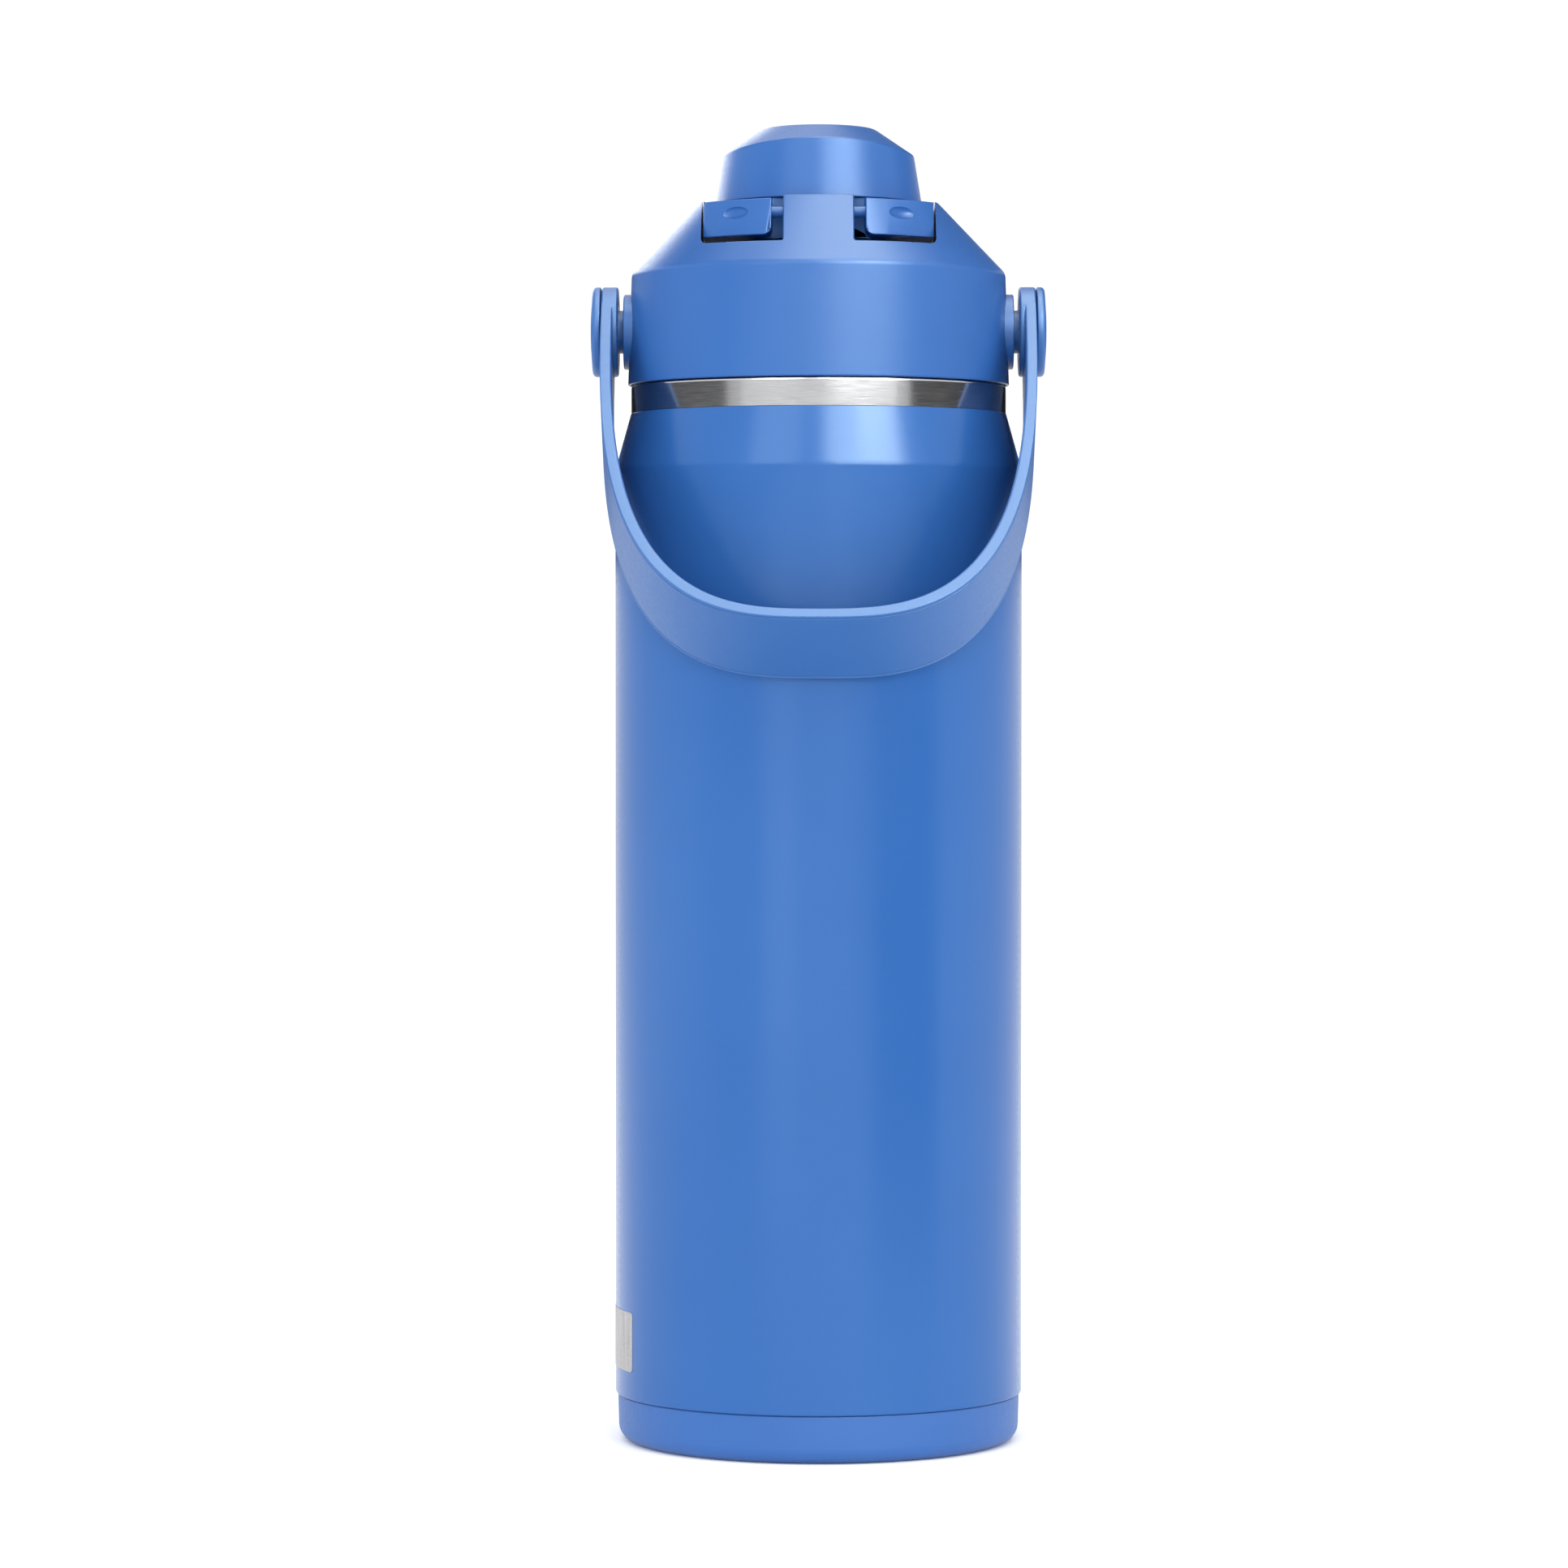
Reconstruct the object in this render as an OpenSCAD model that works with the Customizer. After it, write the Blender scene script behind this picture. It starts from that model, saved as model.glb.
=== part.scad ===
// Insulated steel drinking jug: double-walled bottle, screw lid with a flip-up chug cap, swinging carry handle.
// Millimetres, +Z up. The origin is the centre of the underside, on the surface that the jug stands on.
// The cap's hinge and the hanging handle are on the -Y side.

/* [Bottle] */
// Outside radius of the painted steel wall
body_r = 44.5; // [44:0.1:45]
// Height where the painted wall starts to draw in to the neck
shoulder_z = 212.4; // [205:0.2:216]
// Height of the seam between the painted wall and the base boot
seam_z = 10.9; // [8:0.1:14]
// Outside radius of the base boot
boot_r = 44; // [43.6:0.1:44.2]
// Outside radius of the bare steel band at the neck
band_r = 41; // [40.6:0.1:41.2]
// Lower edge of the bare steel band
band_low_z = 224.7; // [222:0.1:226]
// Top face of the bare steel band, where the lid's gasket seats
band_top_z = 231.3; // [231:0.1:231.3]
// Thickness of the steel walls
steel_t = 0.8; // [0.6:0.1:1]

/* [Lid] */
// Radius of the lid's skirt at its lower edge
skirt_r = 41.7; // [41.4:0.1:42]
// Radius of the lid's skirt where the sloping shoulder starts
skirt_top_r = 40.9; // [40.6:0.1:41.2]
// Height where the lid's sloping shoulder starts
lid_shoulder_z = 255.3; // [254:0.1:256]
// Radius of the lid's top rim
rim_r = 26.3; // [26:0.1:26.6]
// Height of the lid's top rim
rim_z = 270.6; // [270:0.1:271]
// Thickness of the moulded lid walls
lid_t = 2.1; // [1.8:0.1:2.4]
// Height that the lid rises in one turn of its thread
pitch = 5; // [5:0.1:5.2]

/* [Cap] */
// Radius of the cap where it meets its yoke
cap_r = 22.5; // [22:0.1:22.8]
// Radius of the cap at the top of its side wall
cap_shoulder_r = 20.9; // [20.6:0.1:21.2]
// Height of the top of the cap's side wall
cap_shoulder_z = 281; // [280:0.1:282]
// Radius of the cap's flat top
cap_top_r = 12.2; // [11:0.1:13]
// Height of the cap's flat top, the highest point of the jug
cap_top_z = 287; // [286:0.1:288]

/* [Handle] */
// Height of the handle's pivots
pivot_z = 242.7; // [242:0.1:243]
// Distance from the pivots to the outside of the strap's lowest point
handle_reach = 88.6; // [88:0.1:92]
// Width of the strap
strap_w = 21; // [18:0.5:21]
// Thickness of the strap
strap_t = 2.6; // [2:0.1:3]
// Angle from straight down at which the hanging strap stops just clear of the bottle
hang_tilt = 38.2; // [38:0.1:42]

/* [Hidden] */
$fn = 96;
clear = 0.05;            // running clearance of a pin in its bore
eps = 0.5;               // how far a cutter runs past the face that it cuts

// bottle
boot_wall = 1.5;
boot_floor = 2.4;
boot_edge = 3;
step_r = boot_r - boot_wall;            // the steel wall inside the boot
base_z = 2.8;                           // underside of the steel base disc
base_r = step_r - steel_t;
dimple_r = 7;
dimple_h = 1.6;
liner_r = 40.4;                         // inside radius of the steel liner
liner_z = 7;                            // underside of the liner's floor
liner_edge = 9;
mouth_r = 37;                           // inside radius of the mouth
liner_in_z = 209;                       // where the liner draws in to the mouth
liner_neck_z = 214.5;                   // where the mouth's straight wall starts
patch_low_z = 16.6;
patch_h = 12.9;
patch_angle = 50.4;
patch_t = 0.12;

// lid
skirt_z = band_top_z + 0.3;
deck_z = 260;                           // floor of the trough that the cap's yoke lies in
deck_under_z = 256.4;
trough_x = 25.3;                        // half the trough's width
trough_corner = 1.6;
knuckle_x = 7.6;                        // half the width of the lid's hinge knuckle
knuckle_back_y = -23.2;
slope = (skirt_top_r - rim_r) / (rim_z - lid_shoulder_z);
plug_r = 35.4;                          // root radius of the plug's thread
plug_t = 2.2;
plug_z = 216;                           // underside of the plug's floor
flange_r = 39.5;                        // plug's flange, welded inside the skirt
flange_low_z = band_top_z + 1.6;
flange_h = 2.1;
thread_turns = 1.25;
plug_thread_z = 218.6;
neck_thread_z = plug_thread_z + pitch / 2;
plug_crest_r = 36.6;
neck_crest_r = 36;
spout_r = 14.5;
spout_bore_r = 12.3;
spout_z = 213;
spout_top_z = 279;
boss_r = 8.2;
boss_x = 42.6;
magnet_r = 3;
magnet_h = 1.6;
magnet_y = 24;

// cap and its hinge
hinge_y = -25.5;
hinge_z = 266.8;
pin_r = 1.25;
pin_end_x = 15.4;                       // the pin stops inside the tabs' curved faces
yoke_x = 24.8;                          // half the yoke's width
yoke_z = 261.6;
yoke_top_z = 269.6;
yoke_low_r = 33;
yoke_top_r = 30;
yoke_bore_r = 17.6;
seat_r = 20.8;                          // counterbore that holds the cap's liner
seat_z = 268;
cap_low_z = 271.2;
cap_t = 1.8;
window_x = 10.1;                        // half the gap between the two hinge tabs
window_y = -19.8;
swing_r = 8.3;                          // room that the tabs need to turn
liner_skirt_r = 18.9;
gasket_z = spout_top_z + 0.2;
gasket_h = 1.8;

// handle
axle_r = 4.7;
axle_in_x = 36.6;
bush_r = 6;
hub_r = 9.8;
hub_in_x = 43.8;
hub_out_x = 47.4;
axle_cap_x = 47.6;
axle_cap_end_x = 49.8;
taper_len = 30;                         // length over which the strap widens from its hub

// Points of an arc about c, from angle a to angle b, in n steps.
function arc(c, r, a, b, n) = [for (i = [0:n]) c + r * [cos(a + (b - a) * i / n), sin(a + (b - a) * i / n)]];

// A disc or, with r_in, a ring about the jug's axis, from height low to height high.
module ring(r, low, high, r_in = 0) {
    translate([0, 0, low]) difference() {
        cylinder(h = high - low, r = r);
        if (r_in > 0) translate([0, 0, -eps]) cylinder(h = high - low + 2 * eps, r = r_in);
    }
}

// A rod along X from x = a to x = b, at height z and depth y.
module rod_x(r, a, b, y, z) {
    translate([a, y, z]) rotate([0, 90, 0]) cylinder(h = b - a, r = r);
}

// One side's copy of a piece that is drawn on the +X side.
module on_side(side) {
    if (side > 0) children();
    else mirror([1, 0, 0]) children();
}

// A helical ridge with tapered ends: from radius root to radius crest, starting at height z, for the given turns.
module ridge(root, crest, z, turns) {
    per_turn = 32;
    n = ceil(turns * per_turn);
    half_root = 1;
    half_crest = 0.5;
    rings = [for (i = [0:n])
        let (a = 360 * i / per_turn, mid = z + pitch * i / per_turn, grown = min(1, (min(i, n - i) + 0.4) / 3),
            tip = root + (crest - root) * grown, direction = [cos(a), sin(a)])
        for (p = [[root, -half_root], [tip, -half_crest], [tip, half_crest], [root, half_root]])
        [p[0] * direction[0], p[0] * direction[1], mid + p[1]]];
    outward = crest > root;
    sides = [for (i = [0:n - 1]) for (k = [0:3])
        let (a = 4 * i + k, b = 4 * i + (k + 1) % 4, c = b + 4, d = a + 4)
        each (outward ? [[a, b, c], [a, c, d]] : [[a, c, b], [a, d, c]])];
    ends = outward ? [[3, 2, 1, 0], [4 * n, 4 * n + 1, 4 * n + 2, 4 * n + 3]]
        : [[0, 1, 2, 3], [4 * n + 3, 4 * n + 2, 4 * n + 1, 4 * n]];
    polyhedron(points = rings, faces = concat(sides, ends));
}

// ---------------------------------------------------------------- bottle

module outer_shell() {
    inner_r = body_r - steel_t;
    color("cornflowerblue") rotate_extrude() polygon([
        [step_r, base_z], [step_r, seam_z - 0.4], [body_r, seam_z], [body_r, shoulder_z], [band_r, band_low_z],
        [band_r - steel_t, band_low_z], [inner_r, shoulder_z - 0.2], [inner_r, seam_z + 0.4],
        [base_r, seam_z + 0.1], [base_r, base_z]]);
}

module neck_band() {
    edge = 1.2;
    corner = arc([band_r - edge, band_top_z - edge], edge, 0, 90, 8);
    color("silver") rotate_extrude() polygon(concat(
        [[band_r - steel_t, band_low_z], [band_r, band_low_z]], corner,
        [[mouth_r + steel_t, band_top_z], [mouth_r + steel_t, band_top_z - steel_t],
            [band_r - steel_t, band_top_z - steel_t]]));
}

module inner_liner() {
    outer_edge = liner_edge + steel_t;
    color("silver") {
        rotate_extrude() polygon(concat(
            [[0, liner_z]],
            arc([liner_r - liner_edge, liner_z + outer_edge], outer_edge, -90, 0, 10),
            [[liner_r + steel_t, liner_in_z], [mouth_r + steel_t, liner_neck_z],
                [mouth_r + steel_t, band_top_z], [mouth_r, band_top_z], [mouth_r, liner_neck_z],
                [liner_r, liner_in_z]],
            arc([liner_r - liner_edge, liner_z + outer_edge], liner_edge, 0, -90, 10),
            [[0, liner_z + steel_t]]));
        ridge(mouth_r + 0.3, neck_crest_r, neck_thread_z, thread_turns);
    }
}

module base_disc() {
    color("silver") difference() {
        union() {
            ring(base_r, base_z, base_z + steel_t);
            ring(dimple_r + steel_t, base_z, base_z + dimple_h + steel_t);
        }
        ring(dimple_r, base_z - eps, base_z + dimple_h);
    }
}

module vacuum_plug() {
    color("gray") ring(4.5, base_z + dimple_h - 0.8, base_z + dimple_h);
}

module getter() {
    color("dimgray") translate([22, 0, 0]) ring(5, base_z + steel_t, base_z + steel_t + 1.8);
}

module base_boot() {
    groove_r = [24, 31];
    color("royalblue") difference() {
        rotate_extrude() polygon(concat(
            [[0, 0]], arc([boot_r - boot_edge, boot_edge], boot_edge, -90, 0, 10),
            [[boot_r, seam_z - 0.5], [step_r, seam_z - 0.5], [step_r, boot_floor], [0, boot_floor]]));
        for (r = groove_r) ring(r + 0.75, -eps, 0.6, r - 0.75);
    }
}

module side_patch() {
    color("darkgray") translate([0, 0, patch_low_z]) rotate([0, 0, 180 - patch_angle / 2])
        rotate_extrude(angle = patch_angle) translate([body_r, 0]) square([patch_t, patch_h]);
}

// ---------------------------------------------------------------- lid

module lid_gasket() {
    color("whitesmoke") ring(flange_r - 0.3, band_top_z + clear, flange_low_z - clear, mouth_r - 0.7);
}

// The lid's outside as a solid of revolution.
module lid_solid() {
    edge = 0.7;
    rotate_extrude() polygon([
        [0, skirt_z], [skirt_r - edge, skirt_z], [skirt_r, skirt_z + edge], [skirt_top_r, lid_shoulder_z],
        [rim_r, rim_z], [0, rim_z]]);
}

// The hollow inside the lid, up to its deck and the walls of the trough.
module lid_hollow() {
    step_z = flange_low_z + flange_h;
    difference() {
        rotate_extrude() polygon([
            [0, skirt_z - eps], [flange_r, skirt_z - eps], [flange_r, step_z],
            [skirt_top_r - lid_t, lid_shoulder_z - 1], [rim_r - 1.4 * lid_t, rim_z - 0.7 * lid_t],
            [0, rim_z - 0.7 * lid_t]]);
        translate([-trough_x - lid_t, -body_r, deck_under_z]) cube([2 * (trough_x + lid_t), 2 * body_r, 20]);
    }
}

// The trough across the lid's top, with round lower corners beside the hinge knuckle.
module trough() {
    pocket_w = trough_x - knuckle_x;
    up = 20;
    for (side = [-1, 1]) on_side(side) {
        translate([knuckle_x, knuckle_back_y + eps, deck_z]) rotate([90, 0, 0]) linear_extrude(body_r) {
            translate([trough_corner, 0]) square([pocket_w - 2 * trough_corner, up]);
            translate([0, trough_corner]) square([pocket_w, up]);
            for (x = [trough_corner, pocket_w - trough_corner])
                translate([x, trough_corner]) circle(trough_corner);
        }
        rod_x(swing_r, knuckle_x, trough_x, hinge_y, hinge_z);
    }
    translate([-trough_x, knuckle_back_y, deck_z]) cube([2 * trough_x, 2 * body_r, up]);
}

module lid_shell() {
    color("cornflowerblue") difference() {
        union() {
            difference() {
                lid_solid();
                lid_hollow();
            }
            for (side = [-1, 1]) on_side(side) rod_x(boss_r, 38, boss_x, 0, pivot_z);
        }
        trough();
        ring(spout_r + clear, deck_under_z - eps, deck_z + eps);
        rod_x(pin_r, -knuckle_x - eps, knuckle_x + eps, hinge_y, hinge_z);
        for (side = [-1, 1]) on_side(side) rod_x(axle_r, 36, boss_x + eps, 0, pivot_z);
        translate([0, magnet_y, 0]) ring(magnet_r, deck_z - magnet_h, deck_z + eps);
    }
}

module lid_plug() {
    inner_r = plug_r - plug_t;
    flange_top_z = flange_low_z + flange_h;
    color("whitesmoke") {
        difference() {
            union() {
                ring(plug_r, plug_z, flange_top_z);
                ring(flange_r, flange_low_z, flange_top_z);
                ring(inner_r, flange_top_z - eps, deck_under_z);
            }
            ring(inner_r - plug_t, plug_z + plug_t, deck_under_z + eps);
            ring(spout_r + clear, plug_z - eps, plug_z + plug_t + eps);
        }
        ridge(plug_r - 0.3, plug_crest_r, plug_thread_z, thread_turns);
    }
}

module lid_insulation() {
    color("ivory") ring(plug_r - 2 * plug_t, plug_z + plug_t, 250, spout_r + 2);
}

module spout() {
    color("cornflowerblue") difference() {
        union() {
            ring(spout_r, spout_z, spout_top_z);
            ring(spout_r + 1.8, spout_z, spout_z + 1.4);
            ring(spout_r + 2.3, deck_z, deck_z + 1);
            ring(spout_r + 0.5, spout_top_z - 1.4, spout_top_z);
        }
        ring(spout_bore_r, spout_z - eps, spout_top_z + eps);
    }
}

module spout_seal() {
    color("whitesmoke") ring(spout_r + 1.6, spout_z + 1.4, plug_z, spout_r);
}

module deck_magnet() {
    color("dimgray") translate([0, magnet_y, 0]) ring(magnet_r, deck_z - magnet_h, deck_z);
}

module hinge_pin() {
    color("silver") rod_x(pin_r, -pin_end_x, pin_end_x, hinge_y, hinge_z);
}

module axle(side) {
    color("royalblue") on_side(side) rod_x(axle_r, axle_in_x, axle_cap_x, 0, pivot_z);
}

module axle_cap(side) {
    edge = 1;
    thick = axle_cap_end_x - axle_cap_x;
    color("cornflowerblue") on_side(side) translate([axle_cap_x, 0, pivot_z]) rotate([0, 90, 0])
        rotate_extrude() polygon(concat([[0, 0], [hub_r, 0]], arc([hub_r - edge, thick - edge], edge, 0, 90, 6),
            [[0, thick]]));
}

// ---------------------------------------------------------------- cap

module cap_yoke() {
    dimple = [35, 1.7, 2.4];            // a scoop in each tab's face: its bearing from -Y, radius, half its length
    color("cornflowerblue") difference() {
        union() {
            intersection() {
                translate([0, 0, yoke_z]) cylinder(h = yoke_top_z - yoke_z, r1 = yoke_low_r, r2 = yoke_top_r);
                translate([-yoke_x, -body_r, yoke_z]) cube([2 * yoke_x, 2 * body_r, 20]);
            }
            ring(cap_r - 0.2, yoke_top_z - eps, cap_low_z);
        }
        ring(yoke_bore_r, yoke_z - eps, cap_low_z + eps);
        ring(seat_r, seat_z, cap_low_z + eps);
        translate([-window_x, window_y - body_r, yoke_z - eps]) cube([2 * window_x, body_r, 20]);
        for (side = [-1, 1]) on_side(side) {
            rod_x(pin_r + clear, window_x - eps, pin_end_x + clear, hinge_y, hinge_z);
            rotate([0, 0, dimple[0]]) rod_x(dimple[1], -dimple[2], dimple[2], -yoke_top_r - 2.2, 266.4);
        }
        translate([0, magnet_y, 0]) ring(magnet_r, yoke_z - eps, yoke_z + magnet_h);
    }
}

module cap_shell() {
    in_r = cap_r - cap_t;
    color("cornflowerblue") rotate_extrude() polygon([
        [in_r, cap_low_z], [cap_r, cap_low_z], [cap_shoulder_r, cap_shoulder_z], [cap_top_r, cap_top_z],
        [0, cap_top_z], [0, cap_top_z - cap_t], [cap_top_r - 0.6, cap_top_z - cap_t],
        [cap_shoulder_r - cap_t, cap_shoulder_z - 0.9]]);
}

module cap_liner() {
    floor_z = gasket_z + gasket_h;
    roof = 1.4;
    color("royalblue") rotate_extrude() polygon([
        [yoke_bore_r, seat_z], [seat_r - 0.1, seat_z], [seat_r - 0.1, cap_low_z], [liner_skirt_r, cap_low_z],
        [liner_skirt_r, cap_shoulder_z - 1], [liner_skirt_r - 2.5 * roof, floor_z + roof], [0, floor_z + roof],
        [0, floor_z], [yoke_bore_r, floor_z]]);
}

module cap_gasket() {
    color("whitesmoke") ring(spout_r + 1.6, gasket_z, gasket_z + gasket_h, spout_bore_r - 1);
}

module yoke_magnet() {
    color("dimgray") translate([0, magnet_y, 0]) ring(magnet_r, yoke_z, yoke_z + magnet_h);
}

// ---------------------------------------------------------------- handle

// A rounded U, drawn downwards from its open end: a superellipse of half-width a and depth b.
function bail(a, b, n) = [for (i = [0:n]) let (t = 180 * i / n)
    [a * sign(cos(t)) * pow(abs(cos(t)), 2 / 3), -b * pow(sin(t), 2 / 3)]];

module handle_strap() {
    steps = 44;
    outer = bail(hub_out_x, handle_reach, steps);
    inner = bail(hub_out_x - strap_t, handle_reach - strap_t, steps);
    half = strap_w / 2;
    below = handle_reach + 5;
    color("cornflowerblue") translate([0, 0, pivot_z]) rotate([-hang_tilt, 0, 0]) difference() {
        union() {
            intersection() {
                rotate([90, 0, 0]) linear_extrude(strap_w, center = true)
                    polygon(concat(outer, [for (i = [steps:-1:0]) inner[i]]));
                translate([-50, 0, 0]) rotate([90, 0, 90]) linear_extrude(100) polygon([
                    [-hub_r, 0], [-half, -taper_len], [-half, -below], [half, -below], [half, -taper_len],
                    [hub_r, 0]]);
            }
            for (side = [-1, 1]) on_side(side) rod_x(hub_r, hub_in_x, hub_out_x, 0, 0);
        }
        for (side = [-1, 1]) on_side(side) rod_x(bush_r, hub_in_x - eps, hub_out_x + eps, 0, 0);
    }
}

module bush(side) {
    color("whitesmoke") on_side(side) difference() {
        rod_x(bush_r, hub_in_x, hub_out_x, 0, pivot_z);
        rod_x(axle_r + clear, hub_in_x - eps, hub_out_x + eps, 0, pivot_z);
    }
}

outer_shell();
neck_band();
inner_liner();
base_disc();
vacuum_plug();
getter();
base_boot();
side_patch();
lid_gasket();
lid_shell();
lid_plug();
lid_insulation();
spout();
spout_seal();
deck_magnet();
hinge_pin();
axle(-1);  // axle_left
axle(1);  // axle_right
axle_cap(-1);  // axle_cap_left
axle_cap(1);  // axle_cap_right
cap_yoke();
cap_shell();
cap_liner();
cap_gasket();
yoke_magnet();
handle_strap();
bush(-1);  // bush_left
bush(1);  // bush_right
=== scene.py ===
import math

import bmesh
import bpy
from mathutils import Matrix, Vector


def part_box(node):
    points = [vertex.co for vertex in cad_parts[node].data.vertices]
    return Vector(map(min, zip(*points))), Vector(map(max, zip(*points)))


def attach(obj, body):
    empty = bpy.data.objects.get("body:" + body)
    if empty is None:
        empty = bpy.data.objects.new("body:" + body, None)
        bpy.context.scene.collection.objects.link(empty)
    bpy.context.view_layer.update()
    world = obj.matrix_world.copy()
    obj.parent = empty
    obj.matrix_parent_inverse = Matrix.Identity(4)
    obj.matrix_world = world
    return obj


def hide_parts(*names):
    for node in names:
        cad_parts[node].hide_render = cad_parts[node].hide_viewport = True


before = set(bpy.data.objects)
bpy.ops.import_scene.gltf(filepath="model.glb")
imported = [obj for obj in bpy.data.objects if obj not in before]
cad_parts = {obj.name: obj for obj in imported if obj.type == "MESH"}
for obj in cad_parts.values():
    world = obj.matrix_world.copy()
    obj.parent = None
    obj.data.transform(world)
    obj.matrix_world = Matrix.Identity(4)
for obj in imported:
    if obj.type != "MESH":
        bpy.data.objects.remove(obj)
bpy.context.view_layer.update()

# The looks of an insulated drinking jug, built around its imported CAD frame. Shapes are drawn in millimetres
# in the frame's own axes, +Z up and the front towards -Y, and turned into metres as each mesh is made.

scene = bpy.context.scene
MM = 0.001
for packed in list(bpy.data.materials):
    bpy.data.materials.remove(packed)

# ---------------------------------------------------------------- sizes, from the frame

low = {node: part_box(node)[0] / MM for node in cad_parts}
high = {node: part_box(node)[1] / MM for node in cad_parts}
middle = {node: (low[node] + high[node]) / 2 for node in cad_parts}

wall_r = high["outer_shell"].x
wall_top_z = high["outer_shell"].z
wall_low_z = low["outer_shell"].z
shoulder_z = wall_top_z - 12.3
shoulder_blend = 5                     # radius where the wall turns in to the shoulder
band_r = high["neck_band"].x
band_low_z, band_top_z = low["neck_band"].z, high["neck_band"].z
steel_t = 0.8
boot_r, boot_top_z = high["base_boot"].x, high["base_boot"].z
boot_wall, boot_floor = 1.5, 2.4

skirt_r, skirt_low_z = high["lid_shell"].y, low["lid_shell"].z
skirt_top_r = skirt_r - 0.8
rim_r, rim_z = 26.3, high["lid_shell"].z
lid_shoulder_z = rim_z - 15.3
flange_r, flange_top_z = high["lid_plug"].x, low["lid_gasket"].z + 3.65
deck_z, deck_t = high["deck_magnet"].z, 3.6
boss_r, boss_x = 8.2, high["lid_shell"].x
knuckle_x, knuckle_back_y = 7.6, -23.2
spout_r, spout_bore_r = 14.5, 12.3
spout_low_z, spout_top_z = low["spout"].z, high["spout"].z
magnet_r = high["deck_magnet"].x

hinge_y, hinge_z = middle["hinge_pin"].y, middle["hinge_pin"].z
hinge_swing_r = 8.3
yoke_x, yoke_low_z = high["cap_yoke"].x, low["cap_yoke"].z
yoke_top_z, yoke_low_r, yoke_top_r = yoke_low_z + 8, high["cap_yoke"].y, high["cap_yoke"].y - 3
yoke_bore_r, seat_r, seat_z = 17.6, 20.8, low["cap_liner"].z
window_x, window_y = 10.1, -19.8
trough_x = yoke_x + 0.5
cap_r, cap_low_z, cap_top_z = high["cap_shell"].x, low["cap_shell"].z, high["cap_shell"].z
cap_top_r = 12.2

pivot_z = middle["bush_left"].z
bush_r = high["bush_left"].z - pivot_z
hub_r = high["handle_strap"].z - pivot_z
hub_in_x, hub_out_x = low["bush_right"].x, high["bush_right"].x
handle_reach, hang_tilt = 88.6, math.radians(38.2)
strap_w, strap_t, taper_len = 21, 2.6, 30

AROUND = 192                           # faces round a turned piece
ARC_STEP = math.radians(15)            # turn per face of a rounded corner


# ---------------------------------------------------------------- mesh tools

def rounded(corners, steps=None):
    """The points of a closed outline. A corner given as (a, b, radius) is rounded, in that many steps if given."""
    points = []
    for i, corner in enumerate(corners):
        here = Vector(corner[:2])
        radius = corner[2] if len(corner) > 2 else 0
        to_last = Vector(corners[i - 1][:2]) - here
        to_next = Vector(corners[(i + 1) % len(corners)][:2]) - here
        opening = to_last.angle(to_next)
        if radius == 0 or math.pi - opening < 1e-3:
            points.append(here)
            continue
        room = 0.49 * min(to_last.length, to_next.length)
        run = min(radius / math.tan(opening / 2), room)
        radius = run * math.tan(opening / 2)
        centre = here + (to_last.normalized() + to_next.normalized()).normalized() * (
            radius / math.sin(opening / 2))
        start = here + to_last.normalized() * run - centre
        end = here + to_next.normalized() * run - centre
        count = steps or max(2, math.ceil((math.pi - opening) / ARC_STEP))
        turn = start.angle_signed(end)
        for k in range(count + 1):
            angle = -turn * k / count
            points.append(centre + Vector((
                start.x * math.cos(angle) - start.y * math.sin(angle),
                start.x * math.sin(angle) + start.y * math.cos(angle))))
    return points


def turned(section, around=AROUND):
    """A bmesh turned about Z. section is a closed outline of (radius, height), or gives one for an angle."""
    bm = bmesh.new()
    rings, on_axis = [], {}
    for k in range(around):
        angle = 2 * math.pi * k / around
        ring = []
        for i, (r, z) in enumerate(section(angle) if callable(section) else section):
            if r > 1e-6:
                ring.append(bm.verts.new((r * math.cos(angle), r * math.sin(angle), z)))
            else:
                if i not in on_axis:
                    on_axis[i] = bm.verts.new((0, 0, z))
                ring.append(on_axis[i])
        rings.append(ring)
    for k, ring in enumerate(rings):
        beside = rings[(k + 1) % around]
        for i in range(len(ring)):
            j = (i + 1) % len(ring)
            corners = dict.fromkeys((ring[i], beside[i], beside[j], ring[j]))
            if len(corners) > 2:
                bm.faces.new(corners)
    return bm


def along_x(bm):
    """The turned bmesh laid on its side, its axis on X."""
    bm.transform(Matrix.Rotation(math.pi / 2, 4, "Y"))
    return bm


def bar(outline, start, end, axis):
    """A bmesh with that outline, run along X, Y or Z from start to end."""
    place = {"X": lambda a, b, c: (c, a, b), "Y": lambda a, b, c: (a, c, b), "Z": lambda a, b, c: (a, b, c)}[axis]
    bm = bmesh.new()
    ends = [[bm.verts.new(place(a, b, c)) for a, b in outline] for c in (start, end)]
    for i in range(len(outline)):
        j = (i + 1) % len(outline)
        bm.faces.new((ends[0][i], ends[0][j], ends[1][j], ends[1][i]))
    bm.faces.new(ends[0])
    bm.faces.new(ends[1][::-1])
    return bm


def rod(radius, start, end, at=(0, 0, 0), axis="Z", around=96):
    """A plain cylinder along X or Z, used as a cutter or joined to a bigger shape."""
    bm = turned([(0, start), (radius, start), (radius, end), (0, end)], around)
    if axis == "X":
        along_x(bm)
    bm.transform(Matrix.Translation(at))
    return bm


def box(low_corner, high_corner):
    """A plain block, used as a cutter."""
    (x0, y0, z0), (x1, y1, z1) = low_corner, high_corner
    return bar([(x0, y0), (x1, y0), (x1, y1), (x0, y1)], z0, z1, "Z")


def as_object(bm, name):
    """An object holding the bmesh, in metres. The bmesh is used up."""
    bm.transform(Matrix.Scale(MM, 4))
    bmesh.ops.recalc_face_normals(bm, faces=bm.faces)
    mesh = bpy.data.meshes.new(name)
    bm.to_mesh(mesh)
    bm.free()
    made = bpy.data.objects.new(name, mesh)
    scene.collection.objects.link(made)
    return made


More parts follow.
